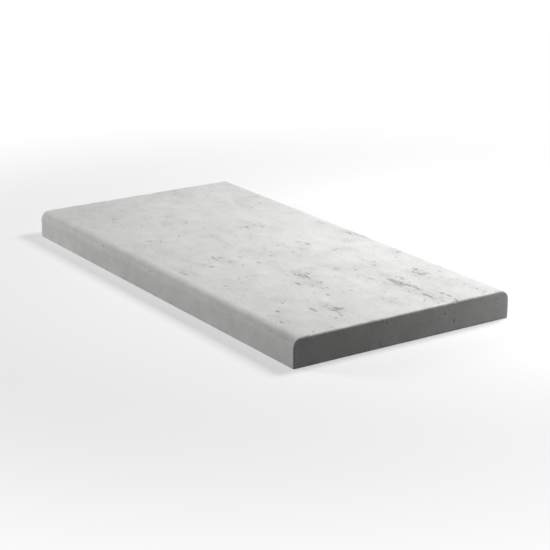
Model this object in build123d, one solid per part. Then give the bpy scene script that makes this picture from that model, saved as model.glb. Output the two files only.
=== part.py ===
"""Flat wall coping, cast in concrete as one slab.

The slab lies on its bed: +X runs along the wall, +Y across it and +Z up.
The origin is at the middle of the underside. Sizes are in millimetres.
"""
import os

from build123d import *

# Overall size of the slab
length = 600.0
width = 300.0
thickness = 35.0

# Rounding of the two long top edges, off which the rain runs
edge_radius = 12.0

# Eased arrises: along the two long bottom edges, and round each square end
bottom_arris = 1.5
end_arris = 2.0

# Drip groove under each overhang, left by a bar in the mould. Its middle line stands back
# from the slab's side, and it stops short of the ends, which stay plain
groove_setback = 25.0
groove_stop = 40.0
groove_mouth = 12.0
groove_depth = 7.0
groove_draft = 8.0
groove_roof_radius = 3.0


def slab():
    """The slab's section, square below and rounded above, run along the length, with its ends eased."""
    with BuildPart() as body:
        with BuildSketch(Plane.YZ) as section:
            Rectangle(width, thickness, align=(Align.CENTER, Align.MIN))
            fillet(section.vertices().group_by(Axis.Y)[-1], edge_radius)
            fillet(section.vertices().group_by(Axis.Y)[0], bottom_arris)
        extrude(amount=length / 2, both=True)
        ends = body.faces().filter_by(Axis.X)
        fillet(ends.edges(), end_arris)
    return body.part


def drip_bar():
    """The bar that forms one groove: round-ended in plan, drawn in by its draft, with a rounded roof."""
    with BuildPart() as bar:
        with BuildSketch(Plane.XY):
            SlotOverall(length - 2 * groove_stop, groove_mouth)
        extrude(amount=groove_depth, taper=groove_draft)
        roof = bar.faces().sort_by(Axis.Z)[-1]
        fillet(roof.edges(), groove_roof_radius)
    return bar.part


groove_line = width / 2 - groove_setback
bars = [Pos(0, side * groove_line, 0) * drip_bar() for side in (-1, 1)]
coping_slab = slab() - bars

os.makedirs("parts", exist_ok=True)
export_step(coping_slab, "parts/coping_slab.step")
print(f"coping_slab: {coping_slab.volume / 1e6:.3f} litres")
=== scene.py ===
import math

import bpy
import numpy as np
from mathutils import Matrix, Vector


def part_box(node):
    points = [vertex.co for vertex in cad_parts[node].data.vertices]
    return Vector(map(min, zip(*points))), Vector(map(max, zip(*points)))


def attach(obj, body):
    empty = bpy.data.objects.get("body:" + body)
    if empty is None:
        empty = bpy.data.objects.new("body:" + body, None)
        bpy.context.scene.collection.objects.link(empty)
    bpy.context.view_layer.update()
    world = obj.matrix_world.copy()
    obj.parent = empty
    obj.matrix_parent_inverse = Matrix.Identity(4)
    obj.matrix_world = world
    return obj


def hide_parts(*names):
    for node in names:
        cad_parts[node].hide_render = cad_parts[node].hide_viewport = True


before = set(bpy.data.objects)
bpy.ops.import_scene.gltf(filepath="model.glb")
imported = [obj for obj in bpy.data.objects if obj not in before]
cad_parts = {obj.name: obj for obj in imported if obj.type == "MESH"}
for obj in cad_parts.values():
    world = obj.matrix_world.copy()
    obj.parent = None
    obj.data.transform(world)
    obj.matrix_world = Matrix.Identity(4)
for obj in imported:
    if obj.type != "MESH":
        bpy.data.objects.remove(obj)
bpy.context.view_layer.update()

# The coping slab
# One slab of pale concrete, cast in a mould that rounds its two long top edges. The ends are
# square with a small eased arris, and the underside is struck off flat to bed on mortar.
_, slab_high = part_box("coping_slab")
half_length = slab_high.x
half_width = slab_high.y
thickness = slab_high.z
edge_radius = 0.012
bottom_arris = 0.0015
end_arris = 0.002
least_arris = 0.0003
quarter_turn = math.pi / 2

# Steps of the mesh round the section. The top and half of each rounding have a whole number of
# columns over every step of the bed, so that the end faces close.
round_steps = 12
side_steps = 9
low_steps = 3
bed_steps = 57
columns_per_bed_step = 4
top_steps = columns_per_bed_step * bed_steps - round_steps
half_count = low_steps + side_steps + round_steps + 1


def section(inset):
    """The slab's outline across its length, one row of points for each inset.

    Half of it is a quarter circle at the bed, a straight side and a larger quarter circle at the
    top, all drawn in by the inset. It runs up the near half, straight over the top, down the far
    half and straight back under the bed. Returns y and z of each row, and the outward normal's
    y and z, which no inset changes.
    """
    inset = inset[:, None]
    side = half_width - inset
    top = thickness - inset
    top_radius = edge_radius - inset
    low_radius = np.maximum(bottom_arris - inset, least_arris)
    low_turn = np.linspace(0, quarter_turn, low_steps + 1)
    top_turn = np.linspace(0, quarter_turn, round_steps + 1)
    rise = np.linspace(0, 1, side_steps + 1)[1:-1]

    low_y = side - low_radius * (1 - np.sin(low_turn))
    low_z = inset + low_radius * (1 - np.cos(low_turn))
    round_y = side - top_radius * (1 - np.cos(top_turn))
    round_z = top - top_radius * (1 - np.sin(top_turn))
    foot = low_z[:, -1:]
    rise_z = foot + (round_z[:, :1] - foot) * rise
    half_y = np.hstack([low_y, side + 0 * rise, round_y])
    half_z = np.hstack([low_z, rise_z, round_z])
    out_y = np.hstack([np.sin(low_turn), np.ones(side_steps - 1), np.cos(top_turn)])
    out_z = np.hstack([-np.cos(low_turn), np.zeros(side_steps - 1), np.sin(top_turn)])

    over = np.linspace(-1, 1, top_steps + 1)[1:-1]
    under = np.linspace(1, -1, bed_steps + 1)[1:-1]
    y = np.hstack([-half_y, over * half_y[:, -1:], half_y[:, ::-1], under * half_y[:, :1]])
    z = np.hstack([half_z, top + 0 * over, half_z[:, ::-1], inset + 0 * under])
    normal_y = np.hstack([-out_y, 0 * over, out_y[::-1], 0 * under])
    normal_z = np.hstack([out_z, 0 * over + 1, out_z[::-1], 0 * under - 1])
    return y, z, normal_y, normal_z


# The drip grooves
# Under each overhang the mould has a drafted bar with round ends, which leaves a groove for
# rain to drip from. Each groove stops short of the slab's ends.
groove_setback = 0.025
groove_stop = 0.040
groove_mouth = 0.012
groove_depth = 0.007
groove_draft = math.radians(8)
roof_radius = 0.003
groove_line = half_width - groove_setback
half_mouth = groove_mouth / 2
round_end = half_length - groove_stop - half_mouth

# Half the groove's section, as distance in from its mouth against height: up the drafted wall
# to where it meets the roof's rounding, round that, and level to the middle.
roof_steps = 4
roof_spring = groove_depth - roof_radius
roof_in = (roof_radius + roof_spring * math.sin(groove_draft)) / math.cos(groove_draft)
roof_turn = np.linspace(groove_draft, quarter_turn, roof_steps + 1)
step_in = np.hstack([0, roof_in - roof_radius * np.cos(roof_turn), half_mouth])
step_up = np.hstack([0, roof_spring + roof_radius * np.sin(roof_turn), groove_depth])
from_middle = (half_mouth - step_in)[::-1]

# The bed's rows between its two edges: close together in the grooves, even elsewhere.
outer_steps = 3
groove_rows = np.hstack([from_middle[:0:-1], -from_middle])
middle_steps = bed_steps - 2 * outer_steps - 2 * (len(groove_rows) - 1)
bed_edge = half_width - bottom_arris
inner_edge = groove_line - half_mouth
outer_rows = np.linspace(bed_edge, groove_line + half_mouth, outer_steps + 1)
middle_rows = np.linspace(inner_edge, -inner_edge, middle_steps + 1)
bed_rows = np.hstack([
    outer_rows[1:-1],
    groove_line + groove_rows,
    middle_rows[1:-1],
    groove_rows - groove_line,
    -outer_rows[-2:0:-1],
])
mouth_slack = 1e-6
tiny = 1e-9


def sink_grooves(x, y):
    """Bends the bed's grid round the grooves and gives its height there.

    A grid point's reach is the larger of its distance along past the round end's centre and its
    distance across from the groove's middle line, in half mouths. Square rings of one reach are
    turned into half circles round that centre, so that the grid's lines follow the mouth, and
    the height is the section's at that reach.
    """
    side = np.sign(y) + (y == 0)
    across = (np.abs(y) - groove_line) / half_mouth
    past = np.clip((np.abs(x) - round_end) / half_mouth, 0, None)
    reach = np.maximum(np.abs(across), past)
    inside = reach < 1 + mouth_slack
    ahead = past >= np.abs(across)
    lead = across / np.maximum(past, tiny)
    trail = past / np.maximum(np.abs(across), tiny)
    turn_ahead = quarter_turn / 2 * lead
    turn_aside = np.sign(across) * (quarter_turn - quarter_turn / 2 * trail)
    turn = np.where(ahead, turn_ahead, turn_aside)
    bent_x = np.minimum(np.abs(x), round_end) + half_mouth * reach * np.cos(turn)
    bent_y = groove_line + half_mouth * reach * np.sin(turn)
    height = np.interp((1 - reach) * half_mouth, step_in, step_up)
    x = np.where(inside, np.sign(x) * bent_x, x)
    y = np.where(inside, side * bent_y, y)
    return x, y, np.where(inside, height, 0)


# The stations along the slab
# The section is carried along X, with closer stations at the round ends of the grooves, and
# drawn in over a quarter circle at each end to ease the arris.
straight_steps = 106
tail_steps = 16
arris_steps = 4
flat_end = half_length - end_arris
half_stations = np.hstack([
    np.linspace(0, round_end, straight_steps + 1),
    round_end + from_middle[1:],
    np.linspace(round_end + half_mouth, flat_end, tail_steps + 1)[1:],
])
arris_turn = np.linspace(0, quarter_turn, arris_steps + 1)[1:]
arris_x = half_length - end_arris * (1 - np.sin(arris_turn))
station = np.hstack([-arris_x[::-1], -half_stations[:0:-1], half_stations, arris_x])
upright = np.zeros(2 * len(half_stations) - 1)
lean = np.hstack([arris_turn[::-1], upright, arris_turn])
section_y, section_z, normal_y, normal_z = section(end_arris * (1 - np.cos(lean)))
station_count = len(station)
ring_count = section_y.shape[1]
bed_first = ring_count - bed_steps + 1


def ease(share):
    """The smooth step: 0 below 0, 1 above 1, and 3t^2 - 2t^3 between."""
    share = np.clip(share, 0, 1)
    return share * share * (3 - 2 * share)


# Past the grooves the bed's rows spread evenly again, to meet the end faces.
groove_clear = 0.004
spread_start = round_end + half_mouth + groove_clear
spread = ease((flat_end - np.abs(station)) / (flat_end - spread_start))[:, None]
bed_y = section_y[:, bed_first:] * (1 - spread) + bed_rows * spread
bed_x, bed_y, bed_z = sink_grooves(station[:, None] + 0 * bed_y, bed_y)

# Distance round the section from the middle of the top, for what runs over the cast face.
middle = station_count // 2
girth_steps = np.hypot(np.diff(section_y[middle]), np.diff(section_z[middle]))
girth = np.hstack([0, np.cumsum(girth_steps)])
girth = girth - girth[half_count + top_steps // 2 - 1]


# The cast face
# The mould gives the top a travertine look: streaks and shallow open pits that run along the
# length, more of them near one end. They are hollows in the face, so nothing stands proud.

# The noise that they come from. The shifts keep the octaves' lattices from lining up.
lattice = 256
first_strength = 1.4
shift_along = 0.37
shift_across = 0.61


def blend(share):
    """6t^5 - 15t^4 + 10t^3, which starts and stops level."""
    return share**3 * (share * (share * 6 - 15) + 10)


def cloud(along, across, cell, seed, octaves, gain=0.5, drift=0.0):
    """Smooth noise from about -1 to 1 over a face, in cells of a given length and width.

    Every corner of a cell has a random slope. Inside the cell the ramps of its four corners are
    blended by 6t^5 - 15t^4 + 10t^3. Each further octave has cells half as large and is gain
    times as strong. The drift, in cells, moves places across before the noise is read.
    """
    draw = np.random.default_rng(seed)
    along = along / cell[0]
    across = across / cell[1] + drift
    total = 0.0
    strength = first_strength
    for octave in range(octaves):
        slope = draw.uniform(0, 2 * math.pi, (lattice, lattice))
        u = along * 2**octave + shift_along * octave
        v = across * 2**octave + shift_across * octave
        cell_u = np.floor(u).astype(int)
        cell_v = np.floor(v).astype(int)
        in_u = u - cell_u
        in_v = v - cell_v
        ramps = []
        for step_u, step_v in ((0, 0), (1, 0), (0, 1), (1, 1)):
            angle = slope[(cell_u + step_u) % lattice, (cell_v + step_v) % lattice]
            ramps.append(np.cos(angle) * (in_u - step_u) + np.sin(angle) * (in_v - step_v))
        front = ramps[0] * (1 - blend(in_u)) + ramps[1] * blend(in_u)
        back = ramps[2] * (1 - blend(in_u)) + ramps[3] * blend(in_u)
        total = total + strength * (front * (1 - blend(in_v)) + back * blend(in_v))
        strength = strength * gain
    return total


# Where pits gather most: place along and across, and how open the patch is.
patch_reach = 0.012
patch_squash = 1.6
open_patches = [
    (0.215, 0.060, 0.75),
    (0.225, 0.020, 0.65),
    (0.235, 0.050, 0.40),
    (0.210, 0.005, 0.40),
    (0.190, 0.100, 0.40),
    (0.140, 0.050, 0.55),
    (0.105, 0.010, 0.45),
    (0.080, 0.125, 0.45),
    (0.220, -0.110, 0.45),
    (0.185, -0.095, 0.45),
    (0.100, -0.060, 0.40),
    (0.030, -0.055, 0.40),
]
patch_swing = 0.8
more_to_end = 0.30
end_rise_start = -0.12
end_rise_length = 0.36
more_to_far_side = 0.12
fewer_at_edge = 0.9
edge_start = 0.130
edge_length = 0.03


def pit_patches(x, around):
    """How thickly pits gather, from about -1 to 2, along the slab and around its section.

    Slow noise in three octaves, a rise towards one end and one side, and a bell over each open
    patch. The roundings and the sides, which lie against the mould's own sides, have fewer.
    """
    gather = patch_swing * cloud(x, around, cell=(0.060, 0.040), seed=13, octaves=3, gain=0.55)
    to_end = ease((x - end_rise_start) / end_rise_length)
    gather = gather + more_to_end * to_end + more_to_far_side * around / half_width
    for place_x, place_y, openness in open_patches:
        away = (x - place_x) ** 2 + patch_squash * (around - place_y) ** 2
        gather = gather + openness * np.exp(-away / patch_reach**2)
    return gather - fewer_at_edge * ease((np.abs(around) - edge_start) / edge_length)


pit_wander = 0.4
pit_pull = 0.60
pit_threshold = 0.95
lip_width = 0.05
lip_share = 0.45
bowl_width = 0.45
bowl_share = 0.95
floor_level = 0.85
floor_swing = 0.5


def open_pits(x, around, gather):
    """How open the pits are, from 0 to 1, where they gather by a given amount.

    Fine noise, a little drawn out along the slab, over a threshold that falls where pits gather.
    Past it by some gap, a pit is the sum of a sharp lip and a slow bowl, each the gap over the
    gap plus a width, times a rough floor of finer noise.
    """
    wander = pit_wander * cloud(x, around, cell=(0.060, 0.045), seed=11, octaves=2)
    fine = cloud(x, around, cell=(0.0150, 0.0075), seed=12, octaves=3, drift=wander)
    gap = np.clip(fine + pit_pull * gather - pit_threshold, 0, None)
    lip = gap / (gap + lip_width)
    bowl = gap / (gap + bowl_width)
    roughness = cloud(x, around, cell=(0.0075, 0.0055), seed=14, octaves=2)
    pit_floor = floor_level + floor_swing * roughness
    return np.clip((lip_share * lip + bowl_share * bowl) * pit_floor, 0, 1)


pit_depth = 0.0017
sway_depth = 0.00025
sway_level = 0.5
sway_swing = 0.4
along = station[:, None]
around = girth[None, :bed_first]
patch = np.full((station_count, ring_count), -1.0)
patch[:, :bed_first] = pit_patches(along, around)
pit = np.zeros((station_count, ring_count))
pit[:, :bed_first] = open_pits(along, around, patch[:, :bed_first])
sway = sway_level + sway_swing * cloud(along, around, cell=(0.090, 0.055), seed=21, octaves=2)
hollow = np.zeros((station_count, ring_count))
hollow[:, :bed_first] = pit_depth * pit[:, :bed_first] + sway_depth * sway

# Small nicks where the arrises were knocked in handling. Over the end arris, all hollows die out.
nick_depth = 0.0009
nick_threshold = 0.50
nick_soft = 0.35
wear_reach = 0.004
to_end = half_length - np.abs(along)
to_bed = np.abs(girth[0]) - np.abs(around)
near_end = np.exp(-((to_end / wear_reach) ** 2))
near_bed = np.exp(-((to_bed / wear_reach) ** 2))
near_arris = np.maximum(near_end, near_bed)
nicks = cloud(along, around, cell=(0.013, 0.013), seed=22, octaves=2)
nicks = ease((nicks - nick_threshold) / nick_soft)
nicks = nicks * near_arris * (1 - np.minimum(near_end, near_bed))
hollow[:, :bed_first] += nick_depth * nicks
hollow = hollow * np.sqrt(np.cos(lean))[:, None]
# Paler arrises in the colour: partly real wear and partly a painted highlight along the edges.
wear_and_highlight = np.zeros((station_count, ring_count))
wear_and_highlight[:, :bed_first] = near_arris
wear_and_highlight[:, bed_first:] = near_end

# The struck underside, a little uneven, with its edge and the grooves left true.
struck_depth = 0.0005
struck_level = 0.5
struck_swing = 0.5
true_by_edge = 0.012
true_by_groove = 0.006
struck = cloud(bed_x, bed_y, cell=(0.070, 0.035), seed=31, octaves=3)
struck = np.clip(struck_level + struck_swing * struck, 0, 1)
from_edge = np.minimum(bed_edge - np.abs(bed_y), flat_end - np.abs(bed_x))
from_groove = np.abs(np.abs(bed_y) - groove_line) - half_mouth
uneven = ease(from_edge / true_by_edge) * ease(from_groove / true_by_groove)
bed_z = bed_z + struck_depth * struck * uneven

shell = np.empty((station_count, ring_count, 3))
tip = np.sign(station) * np.sin(lean)
shell[:, :, 0] = station[:, None] - hollow * tip[:, None]
shell[:, :, 1] = section_y - hollow * normal_y * np.cos(lean)[:, None]
shell[:, :, 2] = section_z - hollow * normal_z * np.cos(lean)[:, None]
flat_stations = slice(arris_steps, station_count - arris_steps)
shell[flat_stations, bed_first:, 0] = bed_x[flat_stations]
shell[flat_stations, bed_first:, 1] = bed_y[flat_stations]
shell[flat_stations, bed_first:, 2] = bed_z[flat_stations]

# The square ends
# Each end is a flat face from the mould's end board, a little uneven and with a few small air
# holes. Its grid is finer than the bed's rows, so a row of many-sided faces joins the two.
end_columns = top_steps + round_steps
end_rows = low_steps + side_steps + round_steps // 2
over_end = end_rows + end_columns


def end_face(ring):
    """Fills a section's outline with a grid, blended from its four sides.

    A point is the mix of the sides left and right of it plus the mix of those above and below
    it, less the mix of the four corners. The top corners are half way round the roundings.
    Returns y and z by row and column.
    """
    left = ring[:end_rows + 1]
    over = ring[end_rows:over_end + 1]
    right = ring[over_end:over_end + end_rows + 1][::-1]
    across = np.linspace(0, 1, end_columns + 1)[None, :, None]
    below = left[0] + (right[0] - left[0]) * across[0]
    rise = np.hstack([0, np.cumsum(np.linalg.norm(np.diff(left, axis=0), axis=1))])
    rise = (rise / rise[-1])[:, None, None]
    sides = left[:, None] * (1 - across) + right[:, None] * across
    levels = below[None] * (1 - rise) + over[None] * rise
    corners = (1 - rise) * (left[0] * (1 - across) + right[0] * across)
    corners = corners + rise * (left[-1] * (1 - across) + right[-1] * across)
    return sides + levels - corners


def quads(index):
    """Four corners of every cell in a grid of point numbers, columns to the right and rows up."""
    cells = (index[:-1, :-1], index[:-1, 1:], index[1:, 1:], index[1:, :-1])
    return np.stack([cell.ravel() for cell in cells], axis=1)


hole_depth = 0.0012
hole_threshold = 0.80
hole_soft = 0.25
hole_margin = 0.003
sway_margin = 0.002
sway_fade = 0.008
end_patch = -0.3
inner = end_face(np.stack([section_y[-1], section_z[-1]], axis=1))[1:-1, 1:-1]
inner_y = inner[..., 0]
inner_z = inner[..., 1]
edge_gap = np.minimum(half_width - np.abs(inner_y), np.minimum(inner_z, thickness - inner_z))

ring_index = np.arange(station_count * ring_count).reshape(station_count, ring_count)
closed = np.hstack([ring_index, ring_index[:, :1]])
faces = quads(closed.T).tolist()
points = [shell.reshape(-1, 3)]
shares = {"pit": [pit.ravel()], "patch": [patch.ravel()], "wear_and_highlight": [wear_and_highlight.ravel()]}
point_count = ring_index.size
for end in (-1, 1):
    holes = cloud(inner_y, inner_z, cell=(0.008, 0.0065), seed=41 + end, octaves=2)
    holes = ease((holes - hole_threshold) / hole_soft)
    holes = holes * ease((edge_gap - hole_margin) / hole_margin)
    sway = cloud(inner_y, inner_z, cell=(0.060, 0.030), seed=43 + end, octaves=2)
    sway = (sway_level + sway_swing * sway) * ease((edge_gap - sway_margin) / sway_fade)
    back = hole_depth * holes + sway_depth * sway
    points.append(np.dstack([end * (half_length - back), inner]).reshape(-1, 3))
    shares["pit"].append(holes.ravel())
    shares["patch"].append(np.full(holes.size, end_patch))
    shares["wear_and_highlight"].append(np.exp(-((edge_gap / wear_reach) ** 2)).ravel())

    row = ring_index[-1] if end > 0 else ring_index[0]
    index = np.empty((end_rows + 1, end_columns + 1), int)
    index[:, 0] = row[:end_rows + 1]
    index[-1] = row[end_rows:over_end + 1]
    index[:, -1] = row[over_end:over_end + end_rows + 1][::-1]
    index[1:-1, 1:-1] = point_count + np.arange(holes.size).reshape(holes.shape)
    point_count += holes.size
    bed_row = np.hstack([row[0], row[:bed_first - 1:-1], row[bed_first - 1]])
    above = [
        index[1, step:end_columns + 1 - columns_per_bed_step + step:columns_per_bed_step]
        for step in range(columns_per_bed_step, -1, -1)
    ]
    joins = np.stack([bed_row[:-1], bed_row[1:], *above], axis=1)
    cells = quads(index[1:])
    if end < 0:
        cells = cells[:, ::-1]
        joins = joins[:, ::-1]
    faces += cells.tolist() + joins.tolist()


def add_object(name, data):
    """A new object at the origin, in the scene."""
    made = bpy.data.objects.new(name, data)
    bpy.context.scene.collection.objects.link(made)
    return made


sharp_angle = math.radians(60)
slab_mesh = bpy.data.meshes.new("coping")
slab_mesh.from_pydata(np.vstack(points), [], faces)
slab_mesh.polygons.foreach_set("use_smooth", np.ones(len(slab_mesh.polygons), bool))
slab_mesh.set_sharp_from_angle(angle=sharp_angle)
for share_name, values in shares.items():
    share = slab_mesh.attributes.new(share_name, "FLOAT", "POINT")
    share.data.foreach_set("value", np.hstack(values).astype(np.float32))
slab_mesh.update()
coping = add_object("coping", slab_mesh)


# The concrete
# Pale grey cement and fine sand, matt from the mould. Paler and darker clouds lie along the
# length, and fine pores and sand show close up. The pits are painted darker, partly for grey dust
# in them and partly as painted shade in the hollows.
class Tone:
    """A value in a node tree. Sums, differences and products with Tones and numbers add Math
    nodes, and node() adds any other."""

    def __init__(self, tree, socket=None):
        self.tree = tree
        self.socket = socket

    def node(self, kind, settings=None, sockets=None, output=0):
        """Adds a node: its settings first, then each socket's value or link. Returns an output."""
        made = self.tree.nodes.new(kind)
        for name, value in (settings or {}).items():
            setattr(made, name, value)
        for name, value in (sockets or {}).items():
            if isinstance(value, Tone):
                self.tree.links.new(value.socket, made.inputs[name])
            else:
                made.inputs[name].default_value = value
        return Tone(self.tree, made.outputs[output] if made.outputs else None)

    def maths(self, operation, first, second):
        """One Math node on two Tones or numbers."""
        return self.node("ShaderNodeMath", {"operation": operation}, {0: first, 1: second})

    def __add__(self, other):
        return self.maths("ADD", self, other)

    def __radd__(self, other):
        return self.maths("ADD", other, self)

    def __sub__(self, other):
        return self.maths("SUBTRACT", self, other)

    def __rsub__(self, other):
        return self.maths("SUBTRACT", other, self)

    def __mul__(self, other):
        return self.maths("MULTIPLY", self, other)

    def __rmul__(self, other):
        return self.maths("MULTIPLY", other, self)

    def over(self, start, stop):
        """0 where the value is below start, 1 above stop, with a smooth step between."""
        return self.node(
            "ShaderNodeMapRange",
            {"interpolation_type": "SMOOTHSTEP"},
            {"Value": self, "From Min": start, "From Max": stop},
        )

    def paint(self, first, second):
        """One colour turning into another as the value goes from 0 to 1."""
        share_socket, first_socket, second_socket, colour_output = 0, 6, 7, 2
        sockets = {share_socket: self, first_socket: first, second_socket: second}
        return self.node("ShaderNodeMix", {"data_type": "RGBA"}, sockets, colour_output)


def empty_nodes(owner):
    """Clears the nodes of a material or a world, and gives a Tone to build new ones from."""
    owner.use_nodes = True
    owner.node_tree.nodes.clear()
    return Tone(owner.node_tree)


concrete = bpy.data.materials.new("cast_concrete")
mix = empty_nodes(concrete)
place = mix.node("ShaderNodeTexCoord", output="Object")


def grain(scale, squeeze, detail, roughness=0.5):
    """Noise over the slab from 0 to 1, with scale cells to a metre, squeezed along each axis.

    A squeeze below 1 draws the cells out along that axis.
    """
    squeezed = mix.node(
        "ShaderNodeMapping", {"vector_type": "POINT"}, {"Vector": place, "Scale": squeeze}
    )
    return mix.node(
        "ShaderNodeTexNoise",
        {"noise_dimensions": "3D"},
        {"Vector": squeezed, "Scale": scale, "Detail": detail, "Roughness": roughness},
    )


mid_grain = 0.5
pits = mix.node("ShaderNodeAttribute", {"attribute_name": "pit"}, output="Fac")
patches = mix.node("ShaderNodeAttribute", {"attribute_name": "patch"}, output="Fac")
edge_wear_and_highlight = mix.node("ShaderNodeAttribute", {"attribute_name": "wear_and_highlight"}, output="Fac")
stain = patches.over(start=0.0, stop=1.1)

# Damp leaves clouds, cement that rose to the face leaves a mottle, and the sand gives grit, with
# a few single grains that are darker or paler than the cement round them.
clouds = grain(scale=14.0, squeeze=(0.8, 1.2, 1.2), detail=4.0, roughness=0.55)
mottle = grain(scale=48.0, squeeze=(0.75, 1.1, 1.1), detail=4.0, roughness=0.6)
grit = grain(scale=1500.0, squeeze=(1.0, 1.0, 1.0), detail=5.0, roughness=0.7)
grains_per_metre = 1100.0
sand = mix.node("ShaderNodeTexVoronoi", None, {"Vector": place, "Scale": grains_per_metre}, "Color")
sand_tone = mix.node("ShaderNodeSeparateColor", None, {"Color": sand}, "Red")
dark_grains = sand_tone.over(start=0.90, stop=0.94)
pale_grains = 1.0 - sand_tone.over(start=0.06, stop=0.10)

# The pits' broken lips and their deep floors, both with a ragged outline.
ragged_lip = 0.35
ragged_floor = 0.5
ragged = grain(scale=520.0, squeeze=(0.8, 1.0, 1.0), detail=3.0)
broken = (pits + ragged_lip * (ragged - mid_grain)).over(start=0.10, stop=0.32)
deep_dust_and_shade = (pits + ragged_floor * (ragged - mid_grain)).over(start=0.35, stop=1.0)

# Small open pores, short dashes along the length, and round pinholes left by air. Their middles
# are painted dark as shade inside the holes, and none opens inside a pit.
more_pores = 0.09
more_dashes = 0.05
bubbles_per_metre = 105.0
bubble_swing = 0.30
bubble_floor = 0.36
pores = grain(scale=300.0, squeeze=(0.65, 1.0, 1.0), detail=3.0)
pores = (pores + more_pores * stain).over(start=0.68, stop=0.80)
dashes = grain(scale=360.0, squeeze=(0.22, 1.0, 1.0), detail=2.0)
dashes = (dashes + more_dashes * stain).over(start=0.73, stop=0.83)
bubble = mix.node(
    "ShaderNodeTexVoronoi", None, {"Vector": place, "Scale": bubbles_per_metre}, "Distance"
)
bubble_size = grain(scale=75.0, squeeze=(1.0, 1.0, 1.0), detail=1.0)
bubble_size = bubble_swing * (bubble_size - bubble_floor)
pinholes = (bubble_size - bubble).over(start=-0.03, stop=0.03)
openings = mix.maths("MAXIMUM", mix.maths("MAXIMUM", pores, dashes), pinholes) * (1.0 - broken)

# The colour, laid on from the cement to the pits.
plain_shade = 0.53
cloud_weight = 0.8
mottle_weight = 1.0
grit_weight = 0.7
stain_weight = 0.34
wear_and_highlight_weight = 0.45
shade = plain_shade + cloud_weight * (clouds - mid_grain) + mottle_weight * (mottle - mid_grain)
shade = shade + grit_weight * (grit - mid_grain) - stain_weight * stain
# Paler arrises: partly real wear, partly a painted highlight along the edges.
shade = shade + wear_and_highlight_weight * edge_wear_and_highlight * mottle.over(start=0.38, stop=0.60)
dark_cement = (0.54, 0.54, 0.53, 1)
pale_cement = (0.74, 0.74, 0.73, 1)
face = shade.paint(dark_cement, pale_cement)
dark_sand = (0.36, 0.36, 0.35, 1)
dark_sand_cover = 0.28
face = (dark_sand_cover * dark_grains).paint(face, dark_sand)
pale_sand = (0.84, 0.84, 0.83, 1)
pale_sand_cover = 0.25
face = (pale_sand_cover * pale_grains).paint(face, pale_sand)
# Painted shade: the pores' middles are darkened as the shade inside the holes.
pore_painted_shade = (0.15, 0.15, 0.146, 1)
pore_shade_cover = 0.7
face = (pore_shade_cover * openings).paint(face, pore_painted_shade)
# The pits' lips, painted grey: partly dust and partly painted shade in the hollows.
pit_dust_and_shade_grey = (0.30, 0.30, 0.292, 1)
pit_dust_and_shade_grey_cover = 0.18
face = (pit_dust_and_shade_grey_cover * broken).paint(face, pit_dust_and_shade_grey)
# The pits' deeper floors, painted dark: partly dust and partly painted shade, darkest where deepest.
pit_dust_and_shade_dark = (0.17, 0.17, 0.165, 1)
pit_dust_and_shade_dark_cover = 0.28
face = (pit_dust_and_shade_dark_cover * deep_dust_and_shade).paint(face, pit_dust_and_shade_dark)

plain_matt = 0.80
grit_matt = 0.14
open_matt = 0.12
matt = plain_matt + grit_matt * (grit - mid_grain) + open_matt * openings

# Relief too fine for the mesh, in metres.
grit_height = 0.00010
mottle_height = 0.0003
pore_depth = 0.0007
rough_depth = 0.0005
rough_most = 1.6
rough_swing = 1.2
rough = rough_depth * broken * (rough_most - rough_swing * ragged)
height = grit_height * grit + mottle_height * mottle - pore_depth * openings - rough
bumpy = mix.node("ShaderNodeBump", None, {"Strength": 0.8, "Distance": 1.0, "Height": height})
surface = mix.node(
    "ShaderNodeBsdfPrincipled",
    None,
    {
        "Base Color": face,
        "Roughness": matt,
        "Normal": bumpy,
        "Specular IOR Level": 0.15,
    },
)
mix.node("ShaderNodeOutputMaterial", None, {"Surface": surface})
slab_mesh.materials.append(concrete)

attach(coping, "root")
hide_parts("coping_slab")

# The floor
# A plain pale studio floor. The camera sees it pale and with the slab's shadow, fading to white
# further off, and it throws only a little light back up.
floor_reach = 12.0
floor_pale = (0.90, 0.90, 0.90, 1)
floor_bounce = (0.08, 0.08, 0.08, 1)
white = (1, 1, 1, 1)
floor_glow = 0.5
fade_start = 0.38
fade_stop = 0.9
floor_mesh = bpy.data.meshes.new("floor")
floor_corners = floor_reach * np.array([(-1, -1, 0), (1, -1, 0), (1, 1, 0), (-1, 1, 0)])
floor_mesh.from_pydata(floor_corners, [], [(0, 1, 2, 3)])
floor = add_object("floor", floor_mesh)
floor_paint = bpy.data.materials.new("studio_floor")
floor_mix = empty_nodes(floor_paint)


def seen(tone):
    """1 for rays from the camera, and for those mirrored or bent on their way, 0 for other light."""
    camera_ray = tone.node("ShaderNodeLightPath", output="Is Camera Ray")
    mirrored = tone.node("ShaderNodeLightPath", output="Is Glossy Ray")
    bent = tone.node("ShaderNodeLightPath", output="Is Transmission Ray")
    return tone.maths("MINIMUM", camera_ray + mirrored + bent, 1.0)


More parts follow.
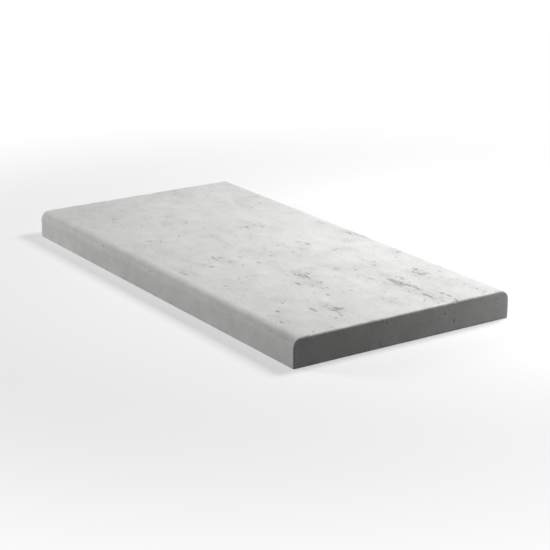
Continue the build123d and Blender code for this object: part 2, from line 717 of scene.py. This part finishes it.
floor_place = floor_mix.node("ShaderNodeTexCoord", output="Object")
distance = floor_mix.node(
    "ShaderNodeVectorMath", {"operation": "LENGTH"}, {0: floor_place}, "Value"
)
floor_colour = seen(floor_mix).paint(floor_bounce, floor_pale)
matt_floor = floor_mix.node("ShaderNodeBsdfDiffuse", None, {"Color": floor_colour})
glow = floor_mix.node("ShaderNodeEmission", None, {"Color": white, "Strength": 1.0})
fade = floor_glow + (1 - floor_glow) * distance.over(start=fade_start, stop=fade_stop)
fade = seen(floor_mix) * fade
floor_surface = floor_mix.node("ShaderNodeMixShader", None, {0: fade, 1: matt_floor, 2: glow})
floor_mix.node("ShaderNodeOutputMaterial", None, {"Surface": floor_surface})
floor_mesh.materials.append(floor_paint)

# The light
# A soft key on the left rakes over the face and a panel hangs over the far side. Three weak
# cards lift the corners that these leave dark, and the room, white to the camera, fills a little.


def aim_at(thing, position, target):
    """Puts a lamp or the camera at a position and turns it to face a target."""
    thing.location = position
    away = Vector(target) - Vector(position)
    thing.rotation_euler = away.to_track_quat("-Z", "Y").to_euler()


def soft_lamp(name, position, target, size, power):
    """A square panel of light that the camera doesn't see."""
    panel = bpy.data.lights.new(name, "AREA")
    panel.shape = "SQUARE"
    panel.size = size
    panel.energy = power
    lamp = add_object(name, panel)
    lamp.visible_camera = False
    aim_at(lamp, position, target)


far_corner = (0.3, 0.15, 0.02)
near_corner = (0.3, -0.15, 0.02)
back_corner = (-0.3, 0.15, 0.02)
soft_lamp("key", (-2.07, -2.01, 0.85), target=(0, 0, 0), size=1.0, power=60.0)
soft_lamp("overhead", (0.15, 0.62, 0.82), target=(0.15, 0.04, 0), size=0.36, power=10.8)
soft_lamp("card", (0.46, 0.38, 0.15), target=far_corner, size=0.18, power=0.45)
soft_lamp("front_card", (1.30, -1.30, 0.35), target=near_corner, size=0.5, power=1.0)
soft_lamp("back_card", (-1.10, 0.95, 0.25), target=back_corner, size=0.5, power=2.2)

room_fill = 0.055
room = bpy.data.worlds.new("room")
air = empty_nodes(room)
air_strength = room_fill + (1.0 - room_fill) * seen(air)
air_light = air.node("ShaderNodeBackground", None, {"Color": white, "Strength": air_strength})
air.node("ShaderNodeOutputWorld", None, {"Surface": air_light})
bpy.context.scene.world = room
bpy.context.scene.view_settings.view_transform = "Standard"

# The camera
# It stands where the photograph was taken from, turned to the slab, with a longer lens that
# brings the slab closer in the same perspective.
lens_data = bpy.data.cameras.new("camera")
lens_data.sensor_width = 36.0
lens_data.lens = 108.0
camera = add_object("camera", lens_data)
aim_at(camera, position=(1.6446, -1.0731, 0.6304), target=(0.060, -0.013, 0.017))
bpy.context.scene.camera = camera
